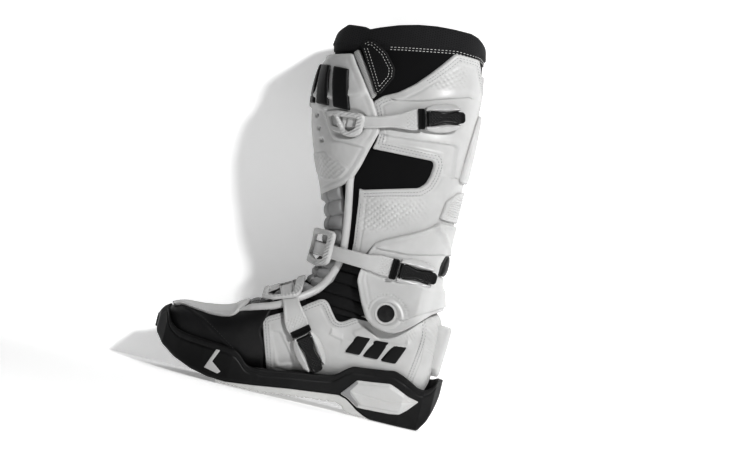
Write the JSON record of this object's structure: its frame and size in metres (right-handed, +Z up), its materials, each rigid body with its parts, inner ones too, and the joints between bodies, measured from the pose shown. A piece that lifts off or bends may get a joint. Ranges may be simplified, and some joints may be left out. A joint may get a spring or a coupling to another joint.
{
  "type": "motocross boot",
  "caption": "Tall off-road riding boot for the left foot, with moulded shells, a hinged ankle, an opening shin plate and ratchet straps closed by folding levers.",
  "frame": {"origin": "middle of the footprint's bounding box, on the floor under the sole", "axes": "+Z up along the leg, -X towards the toe, +X towards the heel, -Y the outer side that carries the buckles"},
  "size_m": [0.3046, 0.1412, 0.409],
  "materials": {
    "white_shell": "satin",
    "white_shin": "satin",
    "white_leather": "satin",
    "white_rail": "satin",
    "black_leather": "satin",
    "black_rubber": "matt",
    "white_rubber": "matt",
    "heel_plate": "satin",
    "steel": "satin",
    "bolt": "satin",
    "black_fabric": "woven",
    "collar_fabric": "woven",
    "tongue_fabric": "woven",
    "footbed_foam": "woven",
    "badge": "satin",
    "black_trim": "satin",
    "lever": "satin",
    "buckle": "satin",
    "strap": "satin",
    "clip": "satin",
    "closure": "woven",
    "closure_strip": "woven"
  },
  "bodies": {
    "foot": {"sole_cup": "black_rubber", "sole_insert": "white_rubber", "heel_side_plate": "heel_plate", "toe_guard": "steel", "shank": "steel", "foot_lining": "black_fabric", "footbed": "footbed_foam", "toe_vamp": "black_leather", "quarter_outer": "white_leather", "quarter_inner": "white_leather", "heel_counter": "white_shell", "toe_overlay": "white_leather", "heel_fin": "white_shell", "heel_badge": "badge", "tongue_lower": "tongue_fabric", "rail_lower_outer": "white_rail", "rail_lower_inner": "white_rail", "buckle_3_base": "buckle", "foot_lever_pin": "steel", "inner_strap_3": "strap", "ankle_gaiter": "black_fabric", "tongue_flex": "tongue_fabric", "pivot_bolts": "bolt"},
    "calf": {"calf_lining": "black_fabric", "collar": "collar_fabric", "calf_shell_outer": "white_shell", "calf_shell_inner": "white_shell", "burn_guard": "black_trim", "inner_panel": "white_shell", "spine_plate": "white_shell", "achilles_panel": "white_shell", "brace_outer": "white_shell", "brace_inner": "white_shell", "rear_strap": "black_trim", "grip_pad": "black_trim", "pivot_rings": "white_shell", "tongue_upper": "tongue_fabric", "rail_upper_outer": "white_rail", "rail_upper_inner": "white_rail", "buckle_1_base": "buckle", "buckle_2_base": "buckle", "calf_lever_pins": "steel", "inner_strap_2": "strap"},
    "shin": {"shin_plate": "white_shin", "shin_badge": "badge", "strap_receiver": "white_shin", "closure_strip": "closure_strip", "closure_tab": "closure"},
    "strap_1": {"strap_1": "strap", "strap_1_adjuster": "lever", "strap_1_clip": "clip"},
    "strap_2": {"strap_2": "strap", "strap_2_adjuster": "lever", "strap_2_clip": "clip"},
    "strap_3": {"strap_3": "strap", "strap_3_adjuster": "lever", "strap_3_clip": "clip"},
    "lever_1": {"buckle_1_lever": "lever"},
    "lever_2": {"buckle_2_lever": "lever"},
    "lever_3": {"buckle_3_lever": "lever"}
  },
  "joints": [
    {"name": "ankle_flex", "type": "hinge", "parent": "foot", "child": "calf", "pos_m": [0.07728, 0.00341, 0.11], "axis": [0, 1, 0], "range_deg": [-5, 5], "stiffness_Nm_per_rad": 20, "deforming": ["ankle_gaiter", "tongue_flex"]},
    {"name": "shin_open", "type": "hinge", "parent": "calf", "child": "shin", "pos_m": [0.00128, 0.07041, 0.28], "axis": [0, 0, -1], "range_deg": [0, 20]},
    {"name": "strap_1_open", "type": "hinge", "parent": "calf", "child": "strap_1", "pos_m": [0.06576, -0.06675, 0.31202], "axis": [-0.2634, -0.0553, 0.9631], "range_deg": [0, 55]},
    {"name": "lever_1_open", "type": "hinge", "parent": "calf", "child": "lever_1", "pos_m": [0.07332, -0.06521, 0.31418], "axis": [0.2634, 0.0553, -0.9631], "range_deg": [0, 100]},
    {"name": "strap_2_open", "type": "hinge", "parent": "calf", "child": "strap_2", "pos_m": [0.07565, -0.05196, 0.15641], "axis": [0.0269, -0.1314, 0.991], "range_deg": [0, 55]},
    {"name": "lever_2_open", "type": "hinge", "parent": "calf", "child": "lever_2", "pos_m": [0.08353, -0.05055, 0.15638], "axis": [-0.0269, 0.1314, -0.991], "range_deg": [0, 100]},
    {"name": "strap_3_open", "type": "hinge", "parent": "foot", "child": "strap_3", "pos_m": [-0.00237, -0.04982, 0.07074], "axis": [0.7813, 0.1166, 0.6132], "range_deg": [0, 55]},
    {"name": "lever_3_open", "type": "hinge", "parent": "foot", "child": "lever_3", "pos_m": [0.00242, -0.0487, 0.06442], "axis": [-0.7813, -0.1166, -0.6132], "range_deg": [0, 100]}
  ],
  "couplings": [
    {"joint": "shin_open", "follows": "strap_1_open", "ratio": 0.35}
  ]
}
